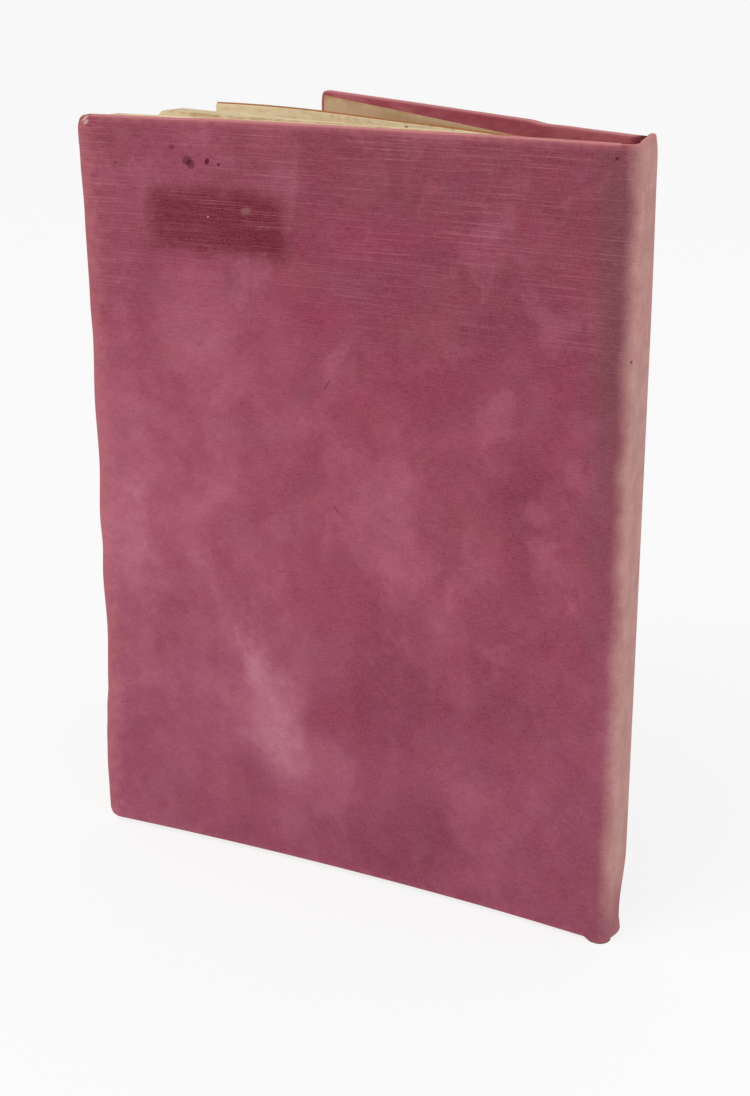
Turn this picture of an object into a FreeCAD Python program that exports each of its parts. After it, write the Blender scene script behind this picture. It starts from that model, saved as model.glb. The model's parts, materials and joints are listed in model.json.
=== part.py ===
import FreeCAD, Part
import math
import os
import re

# Cloth-bound hardback book, standing on its tail edge with the front cover part open
#
# The origin is at the foot of the back cover's outer face, where its board ends at the joint.
# +Z runs up to the head, -X towards the fore edge, +X to the spine, +Y to the front cover.
# The back cover is closed and the front cover stands open at rest.

doc = FreeCAD.newDocument("hardback_book")

# Driving dimensions, in millimetres, and one angle in degrees
DIMENSIONS = {
    # boards and their cloth
    "board_width": 186.8,
    "board_height": 251.5,
    "board_thick": 2.6,
    "back_bow": 3.5,
    "cloth_thick": 0.4,
    "turn_in": 15.0,
    # joints and spine
    "board_to_hinge": 3.4,
    "hinge_to_spine": 4.4,
    "hinge_gap": 0.15,
    "case_thick": 24.6,
    "spine_lean": 3.4,
    "spine_corner": 3.2,
    "inlay_thick": 0.9,
    "inlay_margin": 4.2,
    "open_angle": 31.0,
    # endpapers and mull
    "paper_thick": 0.2,
    "glue_thick": 0.05,
    "paper_margin": 2.8,
    "mull_thick": 0.35,
    "mull_flange": 25.0,
    "mull_margin": 18.0,
    "cover_clearance": 0.3,
    "paper_clearance": 0.15,
    # text block: the closed leaves, a lifted group of leaves and a loose leaf
    "page_width": 187.0,
    "page_height": 248.3,
    "tail_square": 2.5,
    "hollow": 5.5,
    "closed_thick": 13.6,
    "group_thick": 2.1,
    "loose_thick": 0.9,
    "group_root": 80.0,
    "group_lift": 25.6,
    "group_fan": 9.0,
    "group_set_back": 3.6,
    "loose_root": 38.0,
    "loose_lift": 43.4,
    "loose_set_back": 9.5,
}

sizes = doc.addObject("Spreadsheet::Sheet", "Sizes")
for row, (alias, number) in enumerate(DIMENSIONS.items(), start=1):
    sizes.set(f"A{row}", alias)
    sizes.set(f"B{row}", str(number))
    sizes.setAlias(f"B{row}", alias)
doc.recompute()

# Sizes that follow from the driving ones, as formulas of the sheet's names
COVER_WIDTH = "(board_width + cloth_thick)"
COVER_HEIGHT = "(board_height + 2 * cloth_thick)"
BOARD_TOP = "(cloth_thick + board_thick)"
TURN_IN_TOP = "(board_thick + 2 * cloth_thick)"
PAPER_TOP = "(board_thick + 2 * cloth_thick + paper_thick)"
COVER_END = "(board_to_hinge + board_width + cloth_thick)"
BOW_RADIUS = f"(({COVER_WIDTH} ^ 2 / 4 + back_bow ^ 2) / (2 * back_bow))"
FRONT_HINGE_X = "(board_to_hinge - spine_lean)"


def bind(item, prop, formula):
    """Binds a property to a formula of the sheet's names."""
    item.setExpression(prop, re.sub(r"[a-z]\w*", r"Sizes.\g<0>", formula))


def size(name):
    """A driving dimension's number, for the shapes that are set by code."""
    return float(sizes.get(name))


def box(name, x_span, y_span, z_span):
    """A box between three pairs of formulas."""
    item = doc.addObject("Part::Box", name)
    spans = zip(("Length", "Width", "Height"), "xyz", (x_span, y_span, z_span))
    for length, axis, (low, high) in spans:
        bind(item, length, f"{high} - {low}")
        bind(item, f"Placement.Base.{axis}", low)
    return item


def cylinder(name, radius, x_formula, y_formula, z_span):
    """An upright cylinder of a formula's radius."""
    item = doc.addObject("Part::Cylinder", name)
    bind(item, "Radius", radius)
    bind(item, "Height", f"{z_span[1]} - {z_span[0]}")
    bind(item, "Placement.Base.x", x_formula)
    bind(item, "Placement.Base.y", y_formula)
    bind(item, "Placement.Base.z", z_span[0])
    return item


def cut(name, base, tool):
    item = doc.addObject("Part::Cut", name)
    item.Base = base
    item.Tool = tool
    return item


def fuse(name, *pieces):
    item = doc.addObject("Part::MultiFuse", name)
    item.Shapes = list(pieces)
    return item


def bowed(name, centre_x, face_y, x_span, depth_span, z_span):
    """A slab bent to the back cover's bow: depths are counted from the cover's outer face."""
    low, high = depth_span
    centre_y = f"({face_y} + back_bow - {BOW_RADIUS})"
    outside = cylinder(name + "_outside", f"({BOW_RADIUS} + {high})", centre_x, centre_y, z_span)
    inside = cylinder(name + "_inside", f"({BOW_RADIUS} + {low})", centre_x, centre_y, z_span)
    ring = cut(name + "_ring", outside, inside)
    y_low = f"({face_y} - {COVER_WIDTH} / 4)"
    y_high = f"({face_y} + {COVER_WIDTH} / 4)"
    limits = box(name + "_limits", x_span, (y_low, y_high), z_span)
    item = doc.addObject("Part::Common", name)
    item.Base = ring
    item.Tool = limits
    return item


# The two covers, each drawn closed about its own hinge, with the hinge axis at x = 0, y = 0.
# A cover's layers are counted in depth from its outer face, cloth first.

def layer(side, name, x_span, depth_span, z_span):
    """One layer of a cover: bent on the back cover, flat on the front one."""
    label = f"{side}_{name}"
    if side == "back":
        centre_x = f"(-board_to_hinge - {COVER_WIDTH} / 2)"
        return bowed(label, centre_x, "hinge_gap", x_span, depth_span, z_span)
    low, high = depth_span
    return box(label, x_span, (f"(-hinge_gap - {high})", f"(-hinge_gap - {low})"), z_span)


def flat_layer(side, name, x_span, depth_span, z_span):
    """A layer that stays flat on both covers, such as the cloth in the joint."""
    low, high = depth_span
    if side == "back":
        y_span = (f"(hinge_gap + {low})", f"(hinge_gap + {high})")
    else:
        y_span = (f"(-hinge_gap - {high})", f"(-hinge_gap - {low})")
    return box(f"{side}_{name}", x_span, y_span, z_span)


def make_board(side):
    return layer(
        side, "board_slab", (f"(-{COVER_END} + cloth_thick)", "(-board_to_hinge)"),
        ("cloth_thick", BOARD_TOP), ("cloth_thick", f"({COVER_HEIGHT} - cloth_thick)"),
    )


def make_cover_cloth(side):
    """The cloth of one cover: outer face, turned edges, turn-ins and its half of the joint."""
    fold = layer(
        side, "cloth_fold", (f"(-{COVER_END})", "(-board_to_hinge)"),
        ("0", TURN_IN_TOP), ("0", COVER_HEIGHT),
    )
    board_room = layer(
        side, "cloth_board_room", (f"(-{COVER_END} + cloth_thick)", "0"),
        ("cloth_thick", BOARD_TOP), ("cloth_thick", f"({COVER_HEIGHT} - cloth_thick)"),
    )
    window = layer(
        side, "cloth_window", (f"(-{COVER_END} + turn_in)", "0"),
        (BOARD_TOP, f"({TURN_IN_TOP} + board_thick)"), ("turn_in", f"({COVER_HEIGHT} - turn_in)"),
    )
    joint_span = ("(-board_to_hinge - cloth_thick)", "(-hinge_gap)")
    strip = flat_layer(side, "cloth_joint", joint_span, ("0", "cloth_thick"), ("0", COVER_HEIGHT))
    double_span = ("(-board_to_hinge)", "(-hinge_gap)")
    tail = flat_layer(
        side, "cloth_joint_tail", double_span, ("0", "(2 * cloth_thick)"), ("0", "turn_in"),
    )
    head = flat_layer(
        side, "cloth_joint_head", double_span, ("0", "(2 * cloth_thick)"),
        (f"({COVER_HEIGHT} - turn_in)", COVER_HEIGHT),
    )
    hollowed = cut(f"{side}_cloth_hollowed", fold, board_room)
    opened = cut(f"{side}_cloth_opened", hollowed, window)
    joined = fuse(f"{side}_cloth_joined", opened, strip, tail, head)
    board = make_board(side)
    board.Label = f"{side}_cloth_board_tool"
    return cut(f"{side}_cloth_body", joined, board)


def make_mull_flange(side):
    """The mull's flange, glued to the board's inner face under the pastedown."""
    return layer(
        side, "mull_flange_slab", ("(-board_to_hinge - mull_flange)", "(-board_to_hinge)"),
        (BOARD_TOP, f"({BOARD_TOP} + mull_thick)"),
        ("mull_margin", f"({COVER_HEIGHT} - mull_margin)"),
    )


def make_pastedown(side):
    """The pasted half of the endpaper: it steps down to the board between the turn-ins."""
    sheet = layer(
        side, "paper_sheet", (f"(-{COVER_END} + paper_margin)", "(-board_to_hinge)"),
        (TURN_IN_TOP, PAPER_TOP), ("paper_margin", f"({COVER_HEIGHT} - paper_margin)"),
    )
    step = layer(
        side, "paper_step", (f"(-{COVER_END} + turn_in)", "(-board_to_hinge - mull_flange)"),
        (f"({BOARD_TOP} + glue_thick)", PAPER_TOP), ("turn_in", f"({COVER_HEIGHT} - turn_in)"),
    )
    dish = layer(
        side, "paper_dish",
        (f"(-{COVER_END} + turn_in + paper_thick)", "(-board_to_hinge - mull_flange - paper_thick)"),
        (f"({BOARD_TOP} + glue_thick + paper_thick)", f"({PAPER_TOP} + paper_thick)"),
        ("(turn_in + paper_thick)", f"({COVER_HEIGHT} - turn_in - paper_thick)"),
    )
    stepped = fuse(f"{side}_paper_stepped", sheet, step)
    return cut(f"{side}_paper_body", stepped, dish)


COVER_PIECES = {
    "board": make_board,
    "cloth": make_cover_cloth,
    "mull_flange": make_mull_flange,
    "pastedown": make_pastedown,
}


def seat_on_hinge(side, item):
    """Puts a cover's piece on its hinge axis, with the front cover swung open."""
    item.Placement.Rotation = FreeCAD.Rotation(FreeCAD.Vector(0, 0, 1), 0)
    if side == "back":
        bind(item, "Placement.Base.x", "board_to_hinge")
        bind(item, "Placement.Base.y", "-hinge_gap")
    else:
        bind(item, "Placement.Base.x", FRONT_HINGE_X)
        bind(item, "Placement.Base.y", "case_thick + hinge_gap")
        bind(item, "Placement.Rotation.Angle", "-open_angle")


nodes = {}
for side in ("back", "front"):
    for piece, make in COVER_PIECES.items():
        drawn = make(side)
        node = doc.addObject("Part::Compound", f"{side}_{piece}")
        node.Links = [drawn]
        seat_on_hinge(side, node)
        nodes[f"{side}_{piece}"] = node


# The spine: a band of cloth from hinge to hinge, folded over a card inlay at head and tail

COVER_TALL = size("board_height") + 2 * size("cloth_thick")
INLAY_IN = size("cloth_thick")
INLAY_OUT = size("cloth_thick") + size("inlay_thick")
BACK_HINGE_X = size("board_to_hinge")
SPINE_NEAR_X = BACK_HINGE_X + size("hinge_to_spine")
SPINE_FAR_X = SPINE_NEAR_X - size("spine_lean")
FRONT_END_X = SPINE_FAR_X - size("hinge_to_spine") + size("hinge_gap")
SPINE_PATH = [
    FreeCAD.Vector(BACK_HINGE_X + size("hinge_gap"), 0, 0),
    FreeCAD.Vector(SPINE_NEAR_X, 0, 0),
    FreeCAD.Vector(SPINE_FAR_X, size("case_thick"), 0),
    FreeCAD.Vector(FRONT_END_X, size("case_thick"), 0),
]


def unit(start, end):
    return (end - start).normalize()


def left_of(direction):
    return FreeCAD.Vector(-direction.y, direction.x, 0)


def offset_path(path, distance):
    """The path moved to its left, with its corners kept sharp."""
    moved = []
    for i, point in enumerate(path):
        before = unit(path[i - 1], point) if i > 0 else unit(point, path[i + 1])
        after = unit(point, path[i + 1]) if i < len(path) - 1 else before
        mitre = (left_of(before) + left_of(after)).normalize()
        moved.append(point + mitre * (distance / mitre.dot(left_of(before))))
    return moved


def rounded_path(path, radius):
    """Lines along the path, joined by tangent arcs."""
    edges = []
    start = path[0]
    for before, corner, after in zip(path, path[1:], path[2:]):
        to_start, to_end = unit(corner, before), unit(corner, after)
        half_angle = to_start.getAngle(to_end) / 2
        reach = radius / math.tan(half_angle)
        bisector = (to_start + to_end).normalize()
        middle = corner + bisector * (radius / math.sin(half_angle) - radius)
        arc_start, arc_end = corner + to_start * reach, corner + to_end * reach
        edges.append(Part.LineSegment(start, arc_start).toShape())
        edges.append(Part.Arc(arc_start, middle, arc_end).toShape())
        start = arc_end
    edges.append(Part.LineSegment(start, path[-1]).toShape())
    return edges


def band(thick, z_low, z_high):
    """The spine path as an upright band of one thickness."""
    radius = size("spine_corner")
    inner_path = offset_path(SPINE_PATH, thick)
    outer = rounded_path(SPINE_PATH, radius)
    inner = rounded_path(inner_path, radius - thick)
    ends = [
        Part.LineSegment(SPINE_PATH[0], inner_path[0]).toShape(),
        Part.LineSegment(SPINE_PATH[-1], inner_path[-1]).toShape(),
    ]
    wire = Part.Wire(Part.__sortEdges__(outer + inner + ends))
    face = Part.Face(wire)
    face.translate(FreeCAD.Vector(0, 0, z_low))
    return face.extrude(FreeCAD.Vector(0, 0, z_high - z_low))


def spine_plate(depth_in, depth_out, margin, z_low, z_high):
    """A flat plate inside the spine, between two depths from its outer face."""
    near, far = SPINE_PATH[1], SPINE_PATH[2]
    along = unit(near, far)
    inward = left_of(along)
    length = (far - near).Length - margin
    corners = [
        near + along * margin + inward * depth_in,
        near + along * length + inward * depth_in,
        near + along * length + inward * depth_out,
        near + along * margin + inward * depth_out,
    ]
    face = Part.Face(Part.makePolygon(corners + corners[:1]))
    face.translate(FreeCAD.Vector(0, 0, z_low))
    return face.extrude(FreeCAD.Vector(0, 0, z_high - z_low))


def coded(name, shape):
    """A sub-part whose shape is set by code, from the sheet's sizes."""
    item = doc.addObject("Part::Feature", name)
    item.Shape = shape
    item.Placement = FreeCAD.Placement()
    nodes[name] = item
    return item


def make_spine_inlay():
    cloth = size("cloth_thick")
    return spine_plate(INLAY_IN, INLAY_OUT, size("inlay_margin"), cloth, COVER_TALL - cloth)


def make_spine_cloth():
    cloth = size("cloth_thick")
    shape = band(cloth, 0, COVER_TALL)
    edges = ((0, size("turn_in")), (COVER_TALL - size("turn_in"), COVER_TALL))
    for z_low, z_high in edges:
        doubled = band(2 * cloth, z_low, z_high)
        folded = spine_plate(0.0, INLAY_OUT + cloth, size("inlay_margin") - cloth, z_low, z_high)
        shape = shape.fuse(doubled).fuse(folded)
    return shape.cut(make_spine_inlay()).removeSplitter()


coded("spine_inlay", make_spine_inlay())
coded("spine_cloth", make_spine_cloth())


# The text block: leaves closed against the back cover, then a lifted group, then a loose leaf

COVER_WIDE = size("board_width") + size("cloth_thick")
BOW_CENTRE_X = -COVER_WIDE / 2
BOW_R = (COVER_WIDE ** 2 / 4 + size("back_bow") ** 2) / (2 * size("back_bow"))
PAGE_DEPTH = (
    size("board_thick") + 2 * size("cloth_thick") + size("paper_thick") + size("cover_clearance")
)
BLOCK_DEPTH = PAGE_DEPTH + size("paper_thick") + size("paper_clearance")
BLOCK_SPINE_X = SPINE_NEAR_X - size("hollow")
FORE_EDGE_X = BLOCK_SPINE_X - size("page_width")
BLOCK_FOOT = size("tail_square")
BLOCK_HEAD = BLOCK_FOOT + size("page_height")
STATIONS = 12


def bowed_point(x, depth):
    """A point at a depth behind the back cover's outer face, on its bow."""
    y = size("back_bow") - BOW_R + math.sqrt((BOW_R + depth) ** 2 - (x - BOW_CENTRE_X) ** 2)
    return FreeCAD.Vector(x, y, 0)


def bowed_arc(x_start, x_end, depth):
    middle = bowed_point((x_start + x_end) / 2, depth)
    return Part.Arc(bowed_point(x_start, depth), middle, bowed_point(x_end, depth)).toShape()


def lifted(root_x, tip_x, depth, lift, swing):
    """Points along a leaf that leaves the closed stack at its root and swings out to its tip."""
    points = []
    for i in range(STATIONS + 1):
        share = i / STATIONS
        point = bowed_point(root_x + (tip_x - root_x) * share, depth)
        points.append(point + FreeCAD.Vector(0, lift * swing(share), 0))
    return points


def curl_away(share):
    """A group of leaves that lifts more and more towards its fore edge."""
    return share ** 1.5


def stand_off(share):
    """A loose leaf that swings out and runs level again at its fore edge."""
    return share * share * (3 - 2 * share)


def curve(points):
    """A smooth curve through the points, which leaves the first one along the closed stack."""
    root = points[0]
    along_stack = FreeCAD.Vector(root.y - size("back_bow") + BOW_R, BOW_CENTRE_X - root.x, 0)
    spline = Part.BSplineCurve()
    spline.interpolate(
        Points=points,
        InitialTangent=along_stack.normalize() * -1,
        FinalTangent=unit(points[-2], points[-1]),
    )
    return spline.toShape()


GROUP_DEPTH = BLOCK_DEPTH + size("closed_thick")
LOOSE_DEPTH = GROUP_DEPTH + size("group_thick")
FAR_DEPTH = LOOSE_DEPTH + size("loose_thick")
GROUP_TIP_X = FORE_EDGE_X + size("group_set_back")
LOOSE_TIP_X = FORE_EDGE_X + size("loose_set_back")


def group_face(depth, lift):
    """One side of the lifted group, whose leaves fan out towards their fore edge."""
    return lifted(-size("group_root"), GROUP_TIP_X, depth, lift, curl_away)


def loose_face(depth):
    return lifted(-size("loose_root"), LOOSE_TIP_X, depth, size("loose_lift"), stand_off)


def make_text_block():
    """One outline in plan: the closed leaves and two fingers that are joined at the spine."""
    group_near = group_face(GROUP_DEPTH, size("group_lift") - size("group_fan"))
    group_far = group_face(LOOSE_DEPTH, size("group_lift"))
    loose_near = loose_face(LOOSE_DEPTH)
    loose_far = loose_face(FAR_DEPTH)
    near_corner = bowed_point(BLOCK_SPINE_X, BLOCK_DEPTH)
    far_corner = bowed_point(BLOCK_SPINE_X, FAR_DEPTH)
    fore_near = bowed_point(FORE_EDGE_X, BLOCK_DEPTH)
    fore_far = bowed_point(FORE_EDGE_X, GROUP_DEPTH)
    edges = [
        bowed_arc(BLOCK_SPINE_X, FORE_EDGE_X, BLOCK_DEPTH),
        Part.LineSegment(fore_near, fore_far).toShape(),
        bowed_arc(FORE_EDGE_X, -size("group_root"), GROUP_DEPTH),
        curve(group_near),
        Part.LineSegment(group_near[-1], group_far[-1]).toShape(),
        curve(group_far),
        bowed_arc(-size("group_root"), -size("loose_root"), LOOSE_DEPTH),
        curve(loose_near),
        Part.LineSegment(loose_near[-1], loose_far[-1]).toShape(),
        curve(loose_far),
        bowed_arc(-size("loose_root"), BLOCK_SPINE_X, FAR_DEPTH),
        Part.LineSegment(far_corner, near_corner).toShape(),
    ]
    face = Part.Face(Part.Wire(Part.__sortEdges__(edges)))
    face.translate(FreeCAD.Vector(0, 0, BLOCK_FOOT))
    return face.extrude(FreeCAD.Vector(0, 0, size("page_height")))


def make_back_flyleaf():
    """The free half of the back endpaper, flat against the closed leaves."""
    depths = (PAGE_DEPTH, PAGE_DEPTH + size("paper_thick"))
    ends = [(bowed_point(BLOCK_SPINE_X, d), bowed_point(FORE_EDGE_X, d)) for d in depths]
    edges = [bowed_arc(BLOCK_SPINE_X, FORE_EDGE_X, d) for d in depths]
    edges += [Part.LineSegment(a, b).toShape() for a, b in zip(*ends)]
    face = Part.Face(Part.Wire(Part.__sortEdges__(edges)))
    face.translate(FreeCAD.Vector(0, 0, BLOCK_FOOT))
    return face.extrude(FreeCAD.Vector(0, 0, size("page_height")))


def make_front_flyleaf():
    """The free half of the front endpaper, standing off with the loose leaf."""
    low = FAR_DEPTH + size("paper_clearance")
    high = low + size("paper_thick")
    edges = []
    tips, heels = [], []
    for depth in (low, high):
        points = loose_face(depth)
        edges.append(curve(points))
        edges.append(bowed_arc(-size("loose_root"), BLOCK_SPINE_X, depth))
        tips.append(points[-1])
        heels.append(bowed_point(BLOCK_SPINE_X, depth))
    edges.append(Part.LineSegment(*tips).toShape())
    edges.append(Part.LineSegment(*heels).toShape())
    face = Part.Face(Part.Wire(Part.__sortEdges__(edges)))
    face.translate(FreeCAD.Vector(0, 0, BLOCK_FOOT))
    return face.extrude(FreeCAD.Vector(0, 0, size("page_height")))


def make_mull_spine():
    """The mull on the back of the leaves, between its two flanges."""
    near = bowed_point(BLOCK_SPINE_X, BLOCK_DEPTH)
    far = bowed_point(BLOCK_SPINE_X, FAR_DEPTH)
    foot = size("mull_margin")
    height = COVER_TALL - 2 * foot
    corner = FreeCAD.Vector(BLOCK_SPINE_X, near.y, foot)
    return Part.makeBox(size("mull_thick"), far.y - near.y, height, corner)


coded("text_block", make_text_block())
coded("back_flyleaf", make_back_flyleaf())
coded("front_flyleaf", make_front_flyleaf())
coded("mull_spine", make_mull_spine())

doc.recompute()

# Every object has to be sound before anything is written
for item in doc.Objects:
    if "Invalid" in item.State or "Error" in item.State:
        raise RuntimeError(f"{item.Name} failed: {item.State}")
for name, node in nodes.items():
    if node.Shape.isNull() or not node.Shape.isValid():
        raise RuntimeError(f"{name} has no valid shape")

os.makedirs("parts", exist_ok=True)
for name, node in nodes.items():
    node.Label = name
    node.Shape.exportStep(f"parts/{name}.step")
    box_size = node.Shape.BoundBox
    print(name, "solids", len(node.Shape.Solids), "volume", round(node.Shape.Volume, 1), box_size)
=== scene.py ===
import json
import math
import random

import bmesh
import bpy
from mathutils import Matrix, Vector, noise
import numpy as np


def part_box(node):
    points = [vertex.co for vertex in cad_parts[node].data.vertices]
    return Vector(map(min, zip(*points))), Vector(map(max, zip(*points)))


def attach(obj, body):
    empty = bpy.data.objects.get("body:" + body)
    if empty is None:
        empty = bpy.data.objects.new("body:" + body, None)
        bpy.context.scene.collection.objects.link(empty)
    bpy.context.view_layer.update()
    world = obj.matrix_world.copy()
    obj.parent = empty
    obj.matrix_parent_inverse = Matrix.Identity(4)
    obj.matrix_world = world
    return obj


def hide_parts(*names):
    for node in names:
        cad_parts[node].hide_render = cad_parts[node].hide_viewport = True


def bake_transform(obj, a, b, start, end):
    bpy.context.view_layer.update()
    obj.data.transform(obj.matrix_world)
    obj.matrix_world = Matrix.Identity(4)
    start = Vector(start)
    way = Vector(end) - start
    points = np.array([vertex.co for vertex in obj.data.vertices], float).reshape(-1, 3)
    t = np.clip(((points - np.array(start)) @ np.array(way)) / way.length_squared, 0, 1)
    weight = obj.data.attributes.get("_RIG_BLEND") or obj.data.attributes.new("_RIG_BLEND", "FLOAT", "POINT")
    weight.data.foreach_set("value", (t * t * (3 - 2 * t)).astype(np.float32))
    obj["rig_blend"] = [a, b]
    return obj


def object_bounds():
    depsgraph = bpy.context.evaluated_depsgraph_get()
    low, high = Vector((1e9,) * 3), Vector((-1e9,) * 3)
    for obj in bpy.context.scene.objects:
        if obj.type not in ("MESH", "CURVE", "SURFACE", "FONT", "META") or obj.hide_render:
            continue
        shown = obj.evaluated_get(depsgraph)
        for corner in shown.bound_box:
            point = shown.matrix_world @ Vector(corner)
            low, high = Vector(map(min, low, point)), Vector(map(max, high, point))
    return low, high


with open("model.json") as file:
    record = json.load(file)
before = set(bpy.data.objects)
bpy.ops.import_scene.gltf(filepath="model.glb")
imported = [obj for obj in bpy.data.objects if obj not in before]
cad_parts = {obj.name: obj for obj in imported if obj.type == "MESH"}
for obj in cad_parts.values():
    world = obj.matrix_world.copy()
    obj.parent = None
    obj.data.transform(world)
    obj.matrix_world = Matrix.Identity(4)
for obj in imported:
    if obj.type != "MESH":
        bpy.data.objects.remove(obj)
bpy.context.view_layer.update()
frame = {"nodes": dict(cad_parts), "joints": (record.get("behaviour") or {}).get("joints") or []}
nodes = frame["nodes"]

MM = 0.001
draw = random.Random(7)


# Boards
# Two plates of grey millboard, one in each cover, 2.6 mm thick with edges softened by wear.
# The near one, in the back cover, is bowed towards the leaves and its fore edge is dented.

CLOTH_THICK = 0.4 * MM
BOARD_THICK = 2.6 * MM
HINGE_GAP = 0.15 * MM
BOARD_TO_HINGE = 3.4 * MM
BOARD_EDGE_ROUND = 0.5 * MM
SHARP_ANGLE = 1.0
BOARD_CUTS = 31
FORE_WEAR_REACH = 40 * MM
FRONT_WEAR = 0.4 * MM
FRONT_RIPPLE = 0.5 * MM
FRONT_RIPPLE_LENGTH = 34 * MM
COVER_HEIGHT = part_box("back_cloth")[1].z
COVER_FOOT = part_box("back_cloth")[0].z
BACK_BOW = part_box("back_cloth")[1].y - 2 * CLOTH_THICK - BOARD_THICK
HINGES = {joint_soil_and_shade["child"].split("_")[0]: Vector(joint_soil_and_shade["pos_m"]) for joint_soil_and_shade in frame["joints"]}
OPEN_ANGLE = math.radians(180 - frame["joints"][1]["range_deg"][1])
COVER_REACH = HINGES["back"].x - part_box("back_cloth")[0].x
COVER_WIDTH = COVER_REACH - BOARD_TO_HINGE
BOW_RADIUS = (COVER_WIDTH ** 2 / 4 + BACK_BOW ** 2) / (2 * BACK_BOW)
BOW_CENTRE = BOARD_TO_HINGE + COVER_WIDTH / 2
JOINT_SOFT = 2.2 * MM
CORNER_ROUND = {("back", "head"): 2.8 * MM, ("back", "foot"): 3.6 * MM}
FRONT_CORNER_ROUND = 3.2 * MM

# How far the worn fore edge of the near cover has drawn back, at heights above the tail
FORE_WEAR = [
    (0 * MM, 0.3 * MM), (10 * MM, 0.0 * MM), (21 * MM, -0.3 * MM), (31 * MM, -0.1 * MM),
    (42 * MM, 0.45 * MM), (52 * MM, 1.3 * MM), (73 * MM, 2.0 * MM), (94 * MM, 1.1 * MM),
    (104 * MM, 1.5 * MM), (115 * MM, 0.9 * MM), (134 * MM, 1.6 * MM), (157 * MM, 0.8 * MM),
    (177 * MM, 1.2 * MM), (190 * MM, 0.65 * MM), (220 * MM, 0.0 * MM), (238 * MM, -0.8 * MM),
    (247 * MM, -1.2 * MM), (253 * MM, -0.4 * MM),
]
# How far the head edges have worn down, at distances from the hinge
HEAD_WEAR_REACH = 12 * MM
TAIL_SLACK = 0.25 * MM
TAIL_SLACK_REACH = 45 * MM
HEAD_WEAR = {
    "back": [(140 * MM, 0.0 * MM), (158 * MM, 0.3 * MM), (192 * MM, 0.4 * MM)],
    "front": [
        (0 * MM, 0.0 * MM), (36 * MM, 0.35 * MM), (48 * MM, 0.6 * MM), (58 * MM, 0.05 * MM),
        (110 * MM, 0.1 * MM), (192 * MM, 0.3 * MM),
    ],
}


def ease(share):
    """A smooth step from 0 to 1."""
    share = min(max(share, 0.0), 1.0)
    return share * share * (3 - 2 * share)


def worn(table, place):
    """The wear at a place between the rows of a table, eased from row to row."""
    place = max(place, table[0][0])
    for (start, before), (end, after) in zip(table, table[1:]):
        if place <= end:
            return before + (after - before) * ease((place - start) / (end - start))
    return table[-1][1]


def fore_wear(side, reach, z):
    """How far a point of a cover has moved towards the spine, by the wear of its fore edge."""
    share = ease((reach - COVER_REACH + FORE_WEAR_REACH) / FORE_WEAR_REACH)
    if side == "back":
        return worn(FORE_WEAR, z) * share
    ripple = noise.noise(Vector((0, 3, z / FRONT_RIPPLE_LENGTH))) * FRONT_RIPPLE
    return (FRONT_WEAR + ripple) * share


def end_wear(side, reach, z):
    """How far a point has gone down, by wear of the head edge and slack cloth at the tail."""
    head = worn(HEAD_WEAR[side], reach) * ease((z - COVER_HEIGHT) / HEAD_WEAR_REACH + 1)
    slack = ease(1 - z / HEAD_WEAR_REACH) * ease(1 - reach / TAIL_SLACK_REACH)
    return head + TAIL_SLACK * slack


def on_cover(side, reach, depth, z):
    """The place of a cover's point: reach from its hinge, depth in from its outer face."""
    hinge = HINGES[side]
    z -= end_wear(side, reach, z)
    reach -= fore_wear(side, reach, z)
    if side == "back":
        inward = depth
        if reach > BOARD_TO_HINGE:
            across = reach - BOW_CENTRE
            inward = BACK_BOW - BOW_RADIUS + math.sqrt((BOW_RADIUS + depth) ** 2 - across ** 2)
        return Vector((hinge.x - reach, hinge.y + HINGE_GAP + inward, z))
    return swing_open(Vector((-reach, -HINGE_GAP - depth, z)), reach)


def swing_open(closed, reach):
    """Turns a point of the closed front cover out to where it stands, softly at its joint."""
    turned = -OPEN_ANGLE * ease((reach + JOINT_SOFT) / (2 * JOINT_SOFT))
    return Matrix.Rotation(turned, 3, "Z") @ closed + HINGES["front"]


def round_corner(side, end, fore_gap, end_gap):
    """The distances of a point from the two edges, once the cover's corner is rounded."""
    radius = CORNER_ROUND.get((side, end), FRONT_CORNER_ROUND)
    inner_fore, inner_end = radius - fore_gap, radius - end_gap
    if inner_fore <= 0 or inner_end <= 0:
        return fore_gap, end_gap
    pull = max(inner_fore, inner_end) / math.hypot(inner_fore, inner_end)
    return radius - inner_fore * pull, radius - inner_end * pull


def new_object(name, mesh_bm):
    """Makes a shown, smooth-shaded object of a bmesh and frees the bmesh."""
    mesh = bpy.data.meshes.new(name)
    mesh_bm.to_mesh(mesh)
    mesh_bm.free()
    mesh.shade_smooth()
    item = bpy.data.objects.new(name, mesh)
    bpy.context.scene.collection.objects.link(item)
    return item


def srgb(red, green, blue):
    """A colour as it is seen, from 0 to 255, for a shader's socket."""
    parts = [part / 255 for part in (red, green, blue)]
    linear = [p / 12.92 if p <= 0.04045 else ((p + 0.055) / 1.055) ** 2.4 for p in parts]
    return (*linear, 1.0)


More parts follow.
